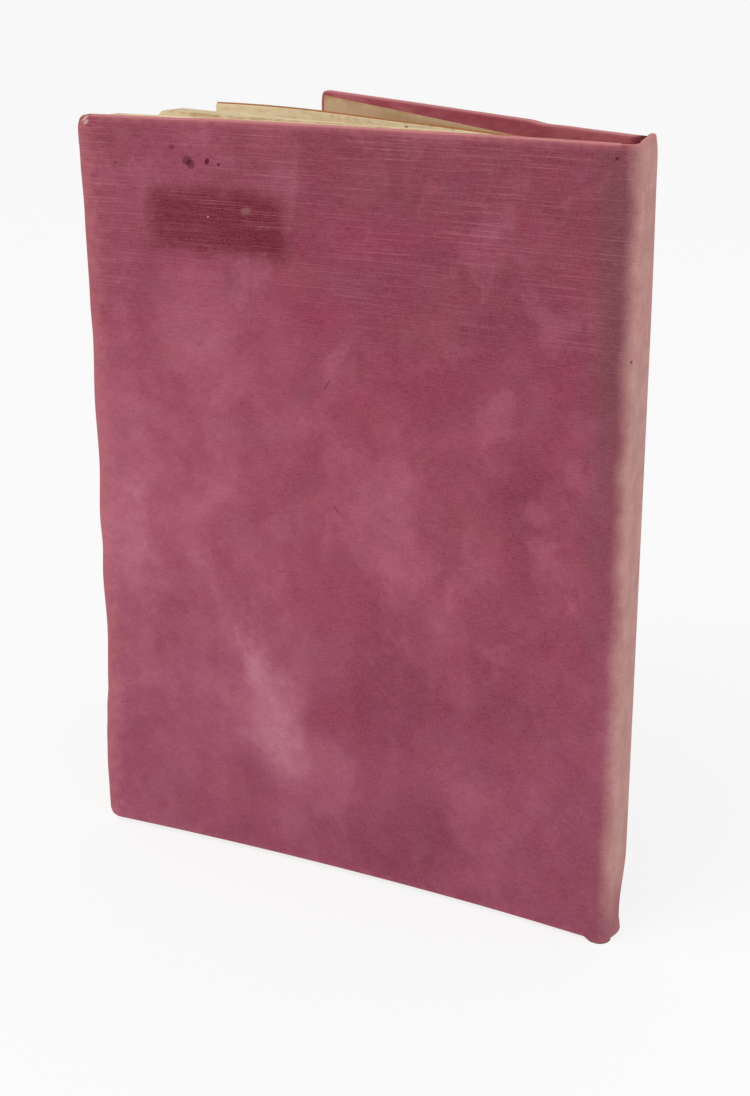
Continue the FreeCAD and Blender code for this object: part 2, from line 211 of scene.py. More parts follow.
class Finish:
    """A material and short ways to add nodes to it."""

    def __init__(self, name, roughness):
        self.material = bpy.data.materials.new(name)
        self.material.use_nodes = True
        self.tree = self.material.node_tree
        self.shader = self.tree.nodes["Principled BSDF"]
        self.shader.inputs["Roughness"].default_value = roughness
        self.shader.inputs["Specular IOR Level"].default_value = 0.25
        self.place = self.add("TexCoord").outputs["Object"]

    def feed(self, socket, value):
        if isinstance(value, bpy.types.NodeSocket):
            self.tree.links.new(value, socket)
        else:
            socket.default_value = value

    def add(self, kind, inputs=None, **settings):
        node = self.tree.nodes.new("ShaderNode" + kind)
        for name, value in settings.items():
            setattr(node, name, value)
        for name, value in (inputs or {}).items():
            self.feed(node.inputs[name], value)
        return node

    def noise(self, place, scale, detail=3.0, roughness=0.5):
        node = self.add("TexNoise", {
            "Vector": place, "Scale": scale, "Detail": detail, "Roughness": roughness,
        })
        return node.outputs[0]

    def stretch(self, place, scale, move=(0.0, 0.0, 0.0)):
        node = self.add("Mapping", {"Vector": place, "Scale": scale, "Location": move})
        return node.outputs[0]

    def ramp(self, value, low, high, start=0.0, end=1.0):
        """A value between low and high, spread smoothly from start to end."""
        node = self.add("MapRange", {
            "Value": value, "From Min": low, "From Max": high, "To Min": start, "To Max": end,
        }, interpolation_type="SMOOTHSTEP")
        return node.outputs[0]

    def calc(self, how, first, second=0.0):
        return self.add("Math", {0: first, 1: second}, operation=how).outputs[0]

    def plus(self, first, second):
        return self.calc("ADD", first, second)

    def minus(self, first, second):
        return self.calc("SUBTRACT", first, second)

    def times(self, first, second):
        return self.calc("MULTIPLY", first, second)

    def mix(self, share, first, second):
        """The first colour at 0 and the second at 1."""
        node = self.add("Mix", data_type="RGBA", clamp_factor=True)
        self.feed(node.inputs[0], share)
        self.feed(node.inputs[6], first)
        self.feed(node.inputs[7], second)
        return node.outputs[2]

    def tones(self, value, stops):
        """A colour for each value from 0 to 1, blended between stops of (position, colour)."""
        node = self.add("ValToRGB", {"Fac": value})
        elements = node.color_ramp.elements
        elements[0].color = srgb(*stops[0][1])
        elements[1].color = srgb(*stops[-1][1])
        for position, colour in stops[1:-1]:
            elements.new(position).color = srgb(*colour)
        return node.outputs[0]

    def colour(self, value):
        self.feed(self.shader.inputs["Base Color"], value)

    def bump(self, *layers):
        """Stacks bumps, each a height, its strength and its distance in metres."""
        normal = None
        for height, strength, distance in layers:
            node = self.add("Bump", {"Height": height, "Strength": strength, "Distance": distance})
            if normal:
                self.feed(node.inputs["Normal"], normal)
            normal = node.outputs[0]
        self.feed(self.shader.inputs["Normal"], normal)


def make_board_finish():
    """Grey-brown pressed board with darker fibres."""
    finish = Finish("millboard", 0.95)
    fibres = finish.noise(finish.stretch(finish.place, (1.0, 1.0, 6.0)), 900.0, 6.0, 0.7)
    clouds = finish.noise(finish.place, 60.0)
    tone = finish.mix(finish.ramp(fibres, 0.35, 0.7), srgb(142, 124, 98), srgb(196, 180, 148))
    finish.colour(finish.mix(finish.ramp(clouds, 0.3, 0.7, 0.0, 0.4), tone, srgb(120, 98, 76)))
    finish.bump((fibres, 0.5, 0.2 * MM))
    return finish.material


BOARD_FINISH = make_board_finish()


def make_board(side):
    """One board: a slab with softened edges, bent and worn as its cover is."""
    bm = bmesh.new()
    bmesh.ops.create_cube(bm, size=1.0)
    long_edges = [edge for edge in bm.edges if abs(edge.verts[0].co.x - edge.verts[1].co.x) > 0.5]
    bmesh.ops.subdivide_edges(bm, edges=long_edges, cuts=BOARD_CUTS, use_grid_fill=True)
    tall_edges = [edge for edge in bm.edges if abs(edge.verts[0].co.z - edge.verts[1].co.z) > 0.5]
    bmesh.ops.subdivide_edges(bm, edges=tall_edges, cuts=BOARD_CUTS, use_grid_fill=True)
    low = Vector((BOARD_TO_HINGE, CLOTH_THICK, COVER_FOOT + CLOTH_THICK))
    high = Vector((COVER_REACH - CLOTH_THICK, CLOTH_THICK + BOARD_THICK, COVER_HEIGHT - CLOTH_THICK))
    for vert in bm.verts:
        share = vert.co + Vector((0.5, 0.5, 0.5))
        vert.co = Vector([a + (b - a) * c for a, b, c in zip(low, high, share)])
    sharp = [edge for edge in bm.edges if edge.is_manifold and edge.calc_face_angle() > SHARP_ANGLE]
    bmesh.ops.bevel(
        bm, geom=sharp, offset=BOARD_EDGE_ROUND, segments=2, profile=0.5, affect="EDGES", material=-1,
    )
    for vert in bm.verts:
        reach, depth, z = vert.co
        end = "head" if z > COVER_HEIGHT / 2 else "foot"
        end_gap = min(z - COVER_FOOT, COVER_HEIGHT - z)
        fore_gap, end_gap = round_corner(side, end, COVER_REACH - reach, end_gap)
        z = COVER_HEIGHT - end_gap if end == "head" else COVER_FOOT + end_gap
        vert.co = on_cover(side, COVER_REACH - fore_gap, depth, z)
    bmesh.ops.recalc_face_normals(bm, faces=bm.faces)
    board = new_object(f"{side}_cover_board", bm)
    board.data.materials.append(BOARD_FINISH)
    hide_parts(f"{side}_board")
    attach(board, f"{side}_cover")


for side in HINGES:
    make_board(side)


# Covering cloth
# One sheet of rose-red book linen, glued over both boards and the spine and turned in 15 mm
# round the edges. It is made here in two halves, which meet along the middle of the spine.

TURN_IN = 15.0 * MM
HINGE_TO_SPINE = 4.4 * MM
SPINE_ROUND = 3.7 * MM
CAP_TALL = 5.0 * MM
CAP_PULLED_IN = 0.7 * MM
CAP_RISE = 1.5 * MM
CAP_DOME = 0.84
CAP_FALL = 0.3
SLACK_TALL = 55.0 * MM
SLACK_PULLED_IN = 0.35 * MM
TAIL_TALL = 24.0 * MM
TAIL_SUNK = 2.1 * MM
TAIL_LIP_TALL = 4.0 * MM
TAIL_LIP = 2.2 * MM
TAIL_LIP_HALF = 0.34
TAIL_DROP = 0.9 * MM
DROP_EARLY = 0.6 * MM
DROP_SOFT = 1.6 * MM
CASE_THICK = HINGES["front"].y - HINGES["back"].y - 2 * HINGE_GAP
SPINE_LEAN = HINGES["back"].x - HINGES["front"].x
INLAY_THICK = 0.9 * MM
INLAY_MARGIN = 4.2 * MM
RIM_ROUND = 1.0 * MM
BOARD_FOLD = BOARD_THICK + 2 * CLOTH_THICK
JOINT_FOLD = 2 * CLOTH_THICK
SPINE_FOLD = INLAY_THICK + 2 * CLOTH_THICK
BOARD_STEP_LATE = 0.2 * MM
BOARD_STEP_SOFT = 1.2 * MM
CARD_STEP_EARLY = 2.2 * MM
CARD_STEP_SOFT = 1.5 * MM
FACE_STEP = 2.2 * MM
JOINT_STEP = 0.6 * MM
JOINT_ZONE = 8 * MM
ARC_STEPS = 4
RIM_RINGS = 2 * ARC_STEPS + 1
TURN_RINGS = 4
RINGS = RIM_RINGS + TURN_RINGS


def spine_line(side, run, depth):
    """A point of the spine, run along the cloth from the hinge and depth in, hinge at 0, 0."""
    lean = -SPINE_LEAN if side == "back" else SPINE_LEAN
    corner = Vector((HINGE_TO_SPINE, 0))
    down = Vector((lean, CASE_THICK)).normalized()
    turn = math.acos(down.x)
    flat = HINGE_TO_SPINE - SPINE_ROUND * math.tan(turn / 2)
    arc = SPINE_ROUND * turn
    if run <= flat:
        return Vector((run, depth))
    centre = Vector((flat, SPINE_ROUND))
    if run <= flat + arc:
        angle = (run - flat) / SPINE_ROUND
        return centre + Vector((math.sin(angle), -math.cos(angle))) * (SPINE_ROUND - depth)
    past = run - flat - arc + SPINE_ROUND * math.tan(turn / 2)
    inward = Vector((-down.y, down.x))
    return corner + down * past + inward * depth


def spine_length(side):
    """The run of the cloth from the hinge to the middle of the spine."""
    lean = -SPINE_LEAN if side == "back" else SPINE_LEAN
    down = Vector((lean, CASE_THICK))
    turn = math.acos(down.normalized().x)
    reach = SPINE_ROUND * math.tan(turn / 2)
    return HINGE_TO_SPINE - reach + SPINE_ROUND * turn + down.length / 2 - reach


def on_cloth(side, run, depth, z):
    """A point of the cloth: run along it from the hinge, less than 0 on the cover."""
    off_board = ease((run + BOARD_TO_HINGE + DROP_EARLY) / DROP_SOFT)
    drop = TAIL_DROP * max(0.0, 1 - (z - COVER_FOOT) / TAIL_LIP_TALL) * off_board
    if run <= 0:
        return on_cover(side, -run, depth, z - drop)
    onto_spine = ease(run / HINGE_TO_SPINE)
    half = run / spine_length(side) / 2
    across = half if side == "back" else 1 - half
    from_head, from_foot = COVER_HEIGHT - z, z - COVER_FOOT
    at_head = max(0.0, 1 - from_head / CAP_TALL) ** 2 * onto_spine
    at_foot = max(0.0, 1 - from_foot / TAIL_LIP_TALL) ** 2 * onto_spine
    depth += CAP_PULLED_IN * at_head
    depth += SLACK_PULLED_IN * ease(1 - from_head / SLACK_TALL) * onto_spine
    depth += TAIL_SUNK * ease(1 - from_foot / TAIL_TALL) * across ** 1.5 * onto_spine
    depth -= TAIL_LIP * at_foot * ease(1 - abs(across - 0.5) / TAIL_LIP_HALF)
    dome = ease(across / CAP_DOME) * ease((1 - across) / CAP_FALL)
    z += CAP_RISE * at_head * dome - drop - end_wear(side, 0.0, z)
    place = spine_line(side, run, depth)
    if side == "front":
        return swing_open(Vector((place.x, -HINGE_GAP - place.y, z)), -run)
    return HINGES["back"] + Vector((place.x, HINGE_GAP + place.y, z))


def fold_thickness(run):
    """What the cloth folds over at the head and tail: board, bare joint or spine card."""
    board = 1 - ease((run + BOARD_TO_HINGE - BOARD_STEP_LATE) / BOARD_STEP_SOFT)
    card = ease((run - HINGE_TO_SPINE - INLAY_MARGIN + CARD_STEP_EARLY) / CARD_STEP_SOFT)
    return JOINT_FOLD + (BOARD_FOLD - JOINT_FOLD) * board + (SPINE_FOLD - JOINT_FOLD) * card


def fold_ring(ring, thick):
    """(inset from the outer edge, depth) of a ring of the turned edge."""
    bend = min(RIM_ROUND, thick / 2)
    if ring <= ARC_STEPS:
        angle = ring / ARC_STEPS * math.pi / 2
        return bend - bend * math.sin(angle), bend - bend * math.cos(angle)
    if ring <= RIM_RINGS:
        angle = (ring - ARC_STEPS - 1) / ARC_STEPS * math.pi / 2
        return bend - bend * math.cos(angle), thick - bend + bend * math.sin(angle)
    share = (ring - RIM_RINGS) / TURN_RINGS
    return bend + (TURN_IN - bend) * share, thick


def drawn_in(gap, inset, bend, ring):
    """The distance of a row from an edge, once a turned-in ring crowds it there."""
    crowd = max(inset - bend, 0.0) + bend * ring / RINGS
    return gap + crowd * max(0.0, 1 - (gap - bend) / (2 * TURN_IN))


def face_steps(start, end, step):
    """Evenly spaced places from start to end."""
    count = max(1, round(abs(end - start) / step))
    return [start + (end - start) * i / count for i in range(count + 1)]


CLOTH_WIDTH = spine_length("back") + spine_length("front")


def thicken(item, thickness, offset=0):
    """Gives a sheet its thickness, to both sides of its mesh or inwards with offset -1."""
    sheet = item.modifiers.new("thickness", "SOLIDIFY")
    sheet.thickness = thickness
    sheet.offset = offset


def make_cloth(side):
    """Half of the covering cloth: drawn as a flat grid, then folded over its board and spine."""
    face_end = -COVER_REACH + RIM_ROUND
    runs = face_steps(face_end, -JOINT_ZONE, FACE_STEP)[:-1]
    runs += face_steps(-JOINT_ZONE, spine_length(side), JOINT_STEP)
    rows = face_steps(COVER_FOOT + RIM_ROUND, COVER_HEIGHT - RIM_ROUND, FACE_STEP)
    columns = len(runs) + RINGS
    lines = len(rows) + 2 * RINGS
    bm = bmesh.new()
    flat_map = bm.loops.layers.uv.new("flat")
    bmesh.ops.create_grid(bm, x_segments=columns - 1, y_segments=lines - 1, size=0.5)
    turned = bm.verts.layers.float.new("turned")
    flats = {}
    for vert in bm.verts:
        column = round((vert.co.x + 0.5) * (columns - 1))
        line = round((vert.co.y + 0.5) * (lines - 1))
        ring_x = max(RINGS - column, 0)
        run = runs[max(column - RINGS, 0)]
        ring_foot = max(RINGS - line, 0)
        ring_head = max(line - RINGS - len(rows) + 1, 0)
        z = rows[min(max(line - RINGS, 0), len(rows) - 1)]
        ring_z = max(ring_foot, ring_head)
        ring = max(ring_x, ring_z)
        thick = fold_thickness(run)
        inset, depth = fold_ring(ring, thick)
        bend = min(RIM_ROUND, thick / 2)
        past = (inset if ring > RIM_RINGS else 0.0) + min(ring, RIM_RINGS) / RIM_RINGS * thick
        flats[vert] = Vector((run, z))
        at_head = z > (COVER_FOOT + COVER_HEIGHT) / 2
        end_gap = min(z - COVER_FOOT, COVER_HEIGHT - z)
        fore_gap = run + COVER_REACH
        if ring:
            row_gap = drawn_in(end_gap, inset, RIM_ROUND, ring) if ring_x == ring else None
            column_gap = drawn_in(fore_gap, inset, RIM_ROUND, ring) if ring_z == ring else None
            if ring_x == ring and ring_z:
                row_gap += (inset - row_gap) * ring_z / ring
            if ring_z == ring and ring_x:
                column_gap += (inset - column_gap) * ring_x / ring
            fore_gap = inset if column_gap is None or ring_x == ring else column_gap
            end_gap = inset if row_gap is None or ring_z == ring else row_gap
            flats[vert] += Vector((
                -past if ring_x == ring else 0.0,
                (past if at_head else -past) if ring_z == ring else 0.0,
            ))
        elif end_gap == RIM_ROUND:
            end_gap = bend
        fore_gap, end_gap = round_corner(side, "head" if at_head else "foot", fore_gap, end_gap)
        run = fore_gap - COVER_REACH
        z = COVER_HEIGHT - end_gap if at_head else COVER_FOOT + end_gap
        vert.co = on_cloth(side, run, depth, z)
        vert[turned] = ring / RINGS
    for face in bm.faces:
        for loop in face.loops:
            u, v = flats[loop.vert]
            loop[flat_map].uv = (u if side == "back" else CLOTH_WIDTH - u, v)
    if side == "front":
        bmesh.ops.reverse_faces(bm, faces=bm.faces)
    for edge in bm.edges:
        edge.smooth = not edge.is_boundary
    cloth = new_object(f"{side}_covering_cloth", bm)
    thicken(cloth, CLOTH_THICK, offset=-1)
    return cloth


cloths = {side: make_cloth(side) for side in HINGES}
for side, cloth in cloths.items():
    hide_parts(f"{side}_cloth", "spine_cloth")


# Where the near cover has faded, deepened or stayed redder, as (x, z, half width, half height,
# turn, strength): x and z in mm from the spine hinge and the tail, the turn in degrees
PALE_PATCHES = [
    (-120, 54, 22, 36, 16, 0.40), (-115, 30, 16, 30, 8, 0.26), (-140, 88, 11, 42, 31, 0.20),
    (-130, 66, 34, 40, 20, 0.12), (-84, 132, 34, 30, -20, 0.20), (-76, 112, 20, 22, 0, 0.12),
    (-153, 187, 18, 36, 0, 0.24), (-176, 112, 24, 34, 0, 0.24), (-96, 40, 30, 30, 0, 0.10),
    (-150, 130, 20, 40, 20, 0.12), (-176, 150, 14, 50, 0, 0.10),
    (-170, 80, 20, 22, 0, 0.10), (-130, 180, 32, 52, 0, 0.17), (-36, 164, 28, 8, 17, 0.10),
    (-54, 92, 12, 34, 10, 0.14), (-28, 36, 7, 40, -29, 0.14), (-163, 52, 18, 22, 0, 0.10),
    (-101, 177, 9, 12, 0, 0.08), (-153, 241, 24, 14, 0, 0.10), (-99, 37, 13, 13, 0, 0.10),
    (-51, 40, 18, 26, 0, 0.08), (-112, 160, 24, 22, 0, 0.10), (-2, 58, 8, 54, 0, 0.16),
]
DEEP_PATCHES = [
    (-31, 134, 12, 34, 0, 0.14), (-60, 124, 10, 30, 0, 0.16), (-80, 72, 34, 22, 0, 0.20),
    (-94, 57, 18, 18, 0, 0.20), (-31, 74, 22, 22, 0, 0.14), (-65, 174, 26, 22, 0, 0.10),
    (-84, 17, 46, 22, 0, 0.16), (-60, 24, 22, 22, 0, 0.12), (-134, 9, 20, 13, 0, 0.12),
    (-141, 72, 12, 15, 0, 0.14), (-175, 34, 18, 22, 0, 0.12), (-40, 99, 16, 20, 0, 0.10),
    (-120, 127, 22, 26, 0, 0.06),
]
CRIMSON_PATCHES = [
    (-105, 196, 24, 14, 0, 0.5), (-90, 164, 20, 17, 0, 0.45), (-79, 219, 34, 14, 0, 0.5),
    (-66, 176, 24, 20, 0, 0.4), (-151, 144, 14, 24, 0, 0.35), (-104, 102, 30, 16, 0, 0.3),
    (-94, 57, 16, 16, 0, 0.4), (-44, 214, 16, 10, 0, 0.3), (-30, 224, 10, 10, 0, 0.25),
]
# The dark rectangle where a label once kept the light off: bare, with soft edges
LABEL_GHOST = (-139.4, 219.8, 27.0, 10.8)
INK_SPOTS = [
    (-150.6, 239.0, 2.3, 1.8, 20, 0.55), (-149.2, 237.8, 2.0, 1.8, 0, 0.6),
    (-143.1, 239.0, 0.9, 1.35, -28, 1.0), (-138.9, 238.3, 0.7, 0.6, 0, 0.9),
    (-187.2, 251.9, 2.0, 0.5, 42, 0.8), (-186.2, 248.6, 1.4, 0.5, 0, 0.35),
    (-156.0, 242.9, 1.6, 1.0, 10, 0.4), (-176.9, 237.0, 0.8, 0.6, 0, 0.4),
    (-3.1, 248.2, 0.55, 0.55, 0, 0.9), (-3.2, 248.3, 1.9, 0.3, 42, 0.4), (-3.2, 248.3, 1.7, 0.3, -38, 0.4),
    (3.8, 189.7, 0.6, 0.7, 0, 0.7), (8.6, 239.0, 0.6, 0.6, 0, 0.6),
    (-100, 171, 0.5, 3.2, -30, 0.4), (-97, 130, 0.5, 2.4, 40, 0.3),
]
CHALK_SPOTS = [
    (-129.3, 224.2, 2.6, 1.6, 15, 0.09), (-143.2, 221.4, 0.5, 0.3, 10, 0.6),
    (-187.8, 251.0, 1.9, 0.5, 42, 1.0), (-187.2, 249.8, 1.4, 0.9, 42, 0.5),
    (0.2, 252.4, 1.3, 0.4, -50, 0.7), (1.4, 252.4, 1.3, 0.4, 40, 0.6),
]


def add_patches(finish, place, patches, soft):
    """The strengths of soft-edged ovals, added up."""
    total = None
    for x, z, wide, tall, turn, strength in patches:
        local = finish.add("Mapping", {
            "Vector": place, "Location": (x, z, 0), "Rotation": (0, 0, math.radians(turn)),
            "Scale": (wide, tall, 1),
        }, vector_type="TEXTURE").outputs[0]
        far = finish.add("VectorMath", {"Vector": local}, operation="LENGTH").outputs["Value"]
        share = finish.ramp(far, 1.0, 1.0 - soft, 0.0, strength)
        total = share if total is None else finish.plus(total, share)
    return total


def drift(finish, place, reach, scale):
    """The place, moved about in x and z by up to the reach, so that edges wander."""
    swirl = finish.add("TexNoise", {"Vector": place, "Scale": scale, "Detail": 4.0})
    moved = finish.add("VectorMath", {0: place, 1: (reach, reach, 0)}, operation="SUBTRACT")
    pushed = finish.add("VectorMath", {
        0: swirl.outputs["Color"], 1: (2 * reach, 2 * reach, 0), 2: moved.outputs[0],
    }, operation="MULTIPLY_ADD")
    return pushed.outputs[0]


def label_ghost(finish, drawn, run, z):
    """How strongly the cloth kept its dye under the lost label."""
    x, middle, wide, tall = LABEL_GHOST
    frayed = finish.ramp(finish.noise(drawn, 0.09, 4.0, 0.5), 0.3, 0.7, -1.3, 1.3)
    beside = finish.calc("ABSOLUTE", finish.minus(run, x))
    above = finish.calc("ABSOLUTE", finish.minus(z, middle))
    beside = finish.ramp(finish.plus(beside, frayed), wide + 3.5, wide - 6.0)
    above = finish.ramp(finish.plus(above, frayed), tall + 2.5, tall - 4.5)
    deeper = finish.ramp(run, x - wide, x + wide, 0.9, 1.0)
    ghost = finish.times(finish.times(beside, above), deeper)
    cloudy = finish.ramp(finish.noise(drawn, 0.1, 4.0), 0.3, 0.7, 0.9, 1.0)
    return finish.times(ghost, cloudy)


def raised_threads(finish, drawn, run, z):
    """Long pale threads that stand out across the cloth, most of them near the head."""
    wander = finish.noise(finish.stretch(drawn, (0.014, 0.014, 1.0)), 1.0, 1.0)
    level = finish.plus(finish.times(z, 2.1), finish.times(wander, 2.4))
    along = finish.add("CombineXYZ", {"X": finish.times(run, 0.03), "Y": level}).outputs[0]
    long_ones = finish.ramp(finish.noise(along, 1.0, 1.0, 0.5), 0.50, 0.72)
    shifted = finish.stretch(along, (2.6, 1.6, 1.0), move=(3, 5, 0))
    short_ones = finish.ramp(finish.noise(shifted, 1.0, 2.0, 0.6), 0.52, 0.76, 0.0, 0.7)
    broken = finish.ramp(finish.noise(drawn, 0.7, 3.0, 0.6), 0.30, 0.62, 0.45, 1.0)
    reach = finish.ramp(z, 165.0, 222.0, 0.07, 1.0)
    areas = finish.ramp(finish.noise(drawn, 0.035, 3.0), 0.35, 0.6, 0.45, 1.0)
    threads = finish.times(finish.calc("MAXIMUM", long_ones, short_ones), broken)
    return finish.times(finish.times(threads, reach), areas)


def faded_dye(finish, side, drawn, run, z):
    """The tone of the cloth's face, from deep dye to bleached."""
    loose = drift(finish, drawn, 15.0, 0.04)
    clouds = finish.noise(drawn, 0.022, 5.0, 0.6)
    mottle = finish.noise(finish.stretch(drawn, (0.8, 1.0, 1.0)), 0.11, 6.0, 0.62)
    fade = finish.ramp(clouds, 0.3, 0.7, -0.08, 0.08)
    fade = finish.plus(fade, finish.ramp(mottle, 0.3, 0.7, -0.07, 0.07))
    fade = finish.plus(fade, finish.ramp(run, -190.0, -60.0, 0.56, 0.38))
    fade = finish.plus(fade, finish.ramp(z, 120.0, 240.0, 0.03, -0.21))
    if side == "back":
        fade = finish.plus(fade, add_patches(finish, loose, PALE_PATCHES, 0.95))
        fade = finish.minus(fade, add_patches(finish, loose, DEEP_PATCHES, 0.95))
    tone = finish.tones(fade, (
        (0.0, (117, 38, 59)), (0.25, (138, 51, 74)), (0.5, (156, 68, 92)),
        (0.75, (173, 89, 111)), (1.0, (196, 123, 139)),
    ))
    tone = finish.mix(finish.ramp(z, 130.0, 10.0, 0.0, 0.28), tone, srgb(146, 68, 102))
    tone = finish.mix(finish.ramp(z, 150.0, 240.0, 0.0, 0.20), tone, srgb(138, 62, 70))
    warm = finish.noise(finish.stretch(drawn, (1, 1, 1), move=(70, 30, 0)), 0.035, 5.0, 0.6)
    tone = finish.mix(finish.ramp(warm, 0.5, 0.72, 0.0, 0.30), tone, srgb(160, 78, 82))
    dusty = finish.noise(finish.stretch(drawn, (1, 1, 1), move=(20, 90, 0)), 0.06, 5.0, 0.6)
    tone = finish.mix(finish.ramp(dusty, 0.5, 0.75, 0.0, 0.28), tone, srgb(140, 82, 96))
    brushed = finish.noise(finish.stretch(loose, (1.0, 0.7, 1), move=(11, 47, 0)), 0.05, 6.0, 0.65)
    tone = finish.mix(finish.ramp(brushed, 0.5, 0.66, 0.0, 0.26), tone, srgb(186, 104, 124))
    tone = finish.mix(finish.ramp(brushed, 0.5, 0.34, 0.0, 0.34), tone, srgb(138, 38, 68))
    if side == "back":
        redder = finish.calc("MINIMUM", add_patches(finish, loose, CRIMSON_PATCHES, 0.95), 0.6)
        tone = finish.mix(redder, tone, srgb(148, 46, 76))
        tone = finish.mix(label_ghost(finish, drawn, run, z), tone, srgb(108, 0, 32))
    return tone, mottle


def make_linen(side):
    """Book linen: fading, soil, weave and loose pale threads, laid out on the flat cloth, with painted shade
    at the joint and in the spine's turn-in.
    """
    finish = Finish(f"{side}_rose_linen", 0.88)
    finish.shader.inputs["Specular IOR Level"].default_value = 0.12
    flat = finish.add("UVMap", uv_map="flat").outputs["UV"]
    drawn = finish.stretch(flat, (1000.0, 1000.0, 1.0))
    axes = finish.add("SeparateXYZ", {"Vector": drawn})
    run, z = axes.outputs[0], axes.outputs[1]
    if side == "front":
        run = finish.minus(CLOTH_WIDTH / MM, run)
    tone, mottle = faded_dye(finish, side, drawn, run, z)

    # the faded spine, and the joint beside it darkened: partly soil, partly painted shade of its shallow
    # hollow and rounding
    spotty = finish.ramp(finish.noise(drawn, 0.05, 6.0, 0.6), 0.3, 0.7, -0.9, 0.9)
    edge = finish.plus(run, spotty)
    joint_soil_and_shade = finish.times(finish.ramp(edge, -13.0, -2.0, 0.0, 0.8), finish.ramp(edge, 6.5, 2.0))
    joint_soil_and_shade = finish.times(joint_soil_and_shade, finish.ramp(z, 60.0, 215.0, 0.2, 1.0))
    joint_soil_and_shade = finish.times(joint_soil_and_shade, finish.ramp(z, 252.0, 238.0, 0.45, 1.0))
    tone = finish.mix(joint_soil_and_shade, tone, srgb(116, 58, 66))
    clouded = finish.noise(finish.stretch(drawn, (0.5, 0.5, 1)), 0.22, 6.0, 0.6)
    bleached = finish.mix(
        finish.ramp(clouded, 0.35, 0.7), srgb(190, 137, 131), srgb(203, 154, 146),
    )
    above_tail = finish.ramp(finish.plus(z, spotty), 0.0, 26.0, 0.35, 1.0)
    bleaching = finish.times(finish.ramp(edge, -1.0, 6.5), above_tail)
    tone = finish.mix(bleaching, tone, bleached)

    # pale threads and the fine linen weave
    threads = raised_threads(finish, drawn, run, z)
    tone = finish.mix(finish.times(threads, 0.4), tone, srgb(204, 120, 136))
    weft = finish.noise(finish.stretch(drawn, (0.3, 3.2, 1.0)), 1.0, 2.0, 0.6)
    warp = finish.noise(finish.stretch(drawn, (3.2, 0.4, 1.0)), 1.0, 2.0, 0.6)
    grain = finish.noise(drawn, 2.2, 3.0, 0.7)
    weave = finish.plus(finish.times(weft, 0.35), finish.times(warp, 0.25))
    weave = finish.plus(weave, finish.times(grain, 0.4))
    shade = finish.ramp(weave, 0.36, 0.64, 0.0, 1.0)
    tone = finish.mix(shade, finish.mix(0.11, tone, (0, 0, 0, 1)), finish.mix(0.045, tone, (1, 1, 1, 1)))

    # edges: rubbed pale along the rims, still deep red where the cloth is turned in, and painted shade
    # inside the turn-in on the spine
    turned = finish.add("Attribute", attribute_name="turned").outputs["Fac"]
    rough = finish.ramp(finish.noise(drawn, 0.3, 5.0, 0.6), 0.3, 0.7, -1.0, 1.0)
    from_head = finish.minus(COVER_HEIGHT / MM, z)
    from_fore = finish.plus(run, COVER_REACH / MM)
    near_head = finish.ramp(finish.plus(from_head, finish.times(rough, 0.5)), 3.2, -0.8)
    near_fore = finish.ramp(finish.plus(from_fore, finish.times(rough, 2.0)), 9.0, -2.0)
    near_foot = finish.ramp(finish.plus(z, rough), 3.0, 0.0, 0.0, 0.4)
    rubbed = finish.calc("MAXIMUM", near_head, finish.calc("MAXIMUM", near_fore, near_foot))
    tone = finish.mix(finish.times(rubbed, 0.5), tone, srgb(196, 120, 124))
    crest = finish.times(finish.ramp(turned, 0.02, 0.2), finish.ramp(turned, 0.62, 0.45, 0.0, 0.75))
    tone = finish.mix(crest, tone, finish.mix(shade, srgb(200, 128, 126), srgb(216, 146, 142)))
    patchy = finish.ramp(finish.noise(finish.stretch(drawn, (0.45, 1, 1)), 0.12, 5.0, 0.6), 0.32, 0.68)
    inside = finish.mix(patchy, srgb(160, 70, 84), srgb(180, 98, 104))
    tone = finish.mix(finish.ramp(turned, 0.55, 0.72), tone, inside)
    # painted shade: the inner side of the turned cloth on the spine, past the hinge, darkened to near
    # black-red
    painted_hollow_shade = finish.times(finish.ramp(run, -4.0, 0.0), finish.ramp(turned, 0.30, 0.46))
    tone = finish.mix(painted_hollow_shade, tone, srgb(66, 16, 24))
    if side == "back":
        ink = finish.calc("MINIMUM", add_patches(finish, drawn, INK_SPOTS, 0.45), 0.9)
        tone = finish.mix(ink, tone, srgb(78, 24, 38))
        chalk = finish.calc("MINIMUM", add_patches(finish, drawn, CHALK_SPOTS, 0.6), 0.95)
        tone = finish.mix(chalk, tone, srgb(222, 202, 176))
    finish.colour(tone)
    finish.bump((weave, 0.30, 0.10 * MM), (threads, 0.6, 0.14 * MM), (mottle, 0.15, 1.0 * MM))
    return finish.material


for side, cloth in cloths.items():
    cloth.data.materials.append(make_linen(side))

hinge = HINGES["back"]
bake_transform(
    cloths["back"], "root", "back_cover",
    start=(hinge.x + JOINT_SOFT, 0, 0), end=(hinge.x - JOINT_SOFT, 0, 0),
)
hinge = HINGES["front"]
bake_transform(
    cloths["front"], "root", "front_cover",
    start=(hinge.x + JOINT_SOFT, hinge.y, 0),
    end=tuple(hinge + Matrix.Rotation(-OPEN_ANGLE, 3, "Z") @ Vector((-JOINT_SOFT, 0, 0))),
)


# Leaves
# About 170 leaves of cream book paper, sewn in gatherings and glued at the spine. Most lie
# closed against the back cover, a group lifts at the fore edge, and a few stand off alone.

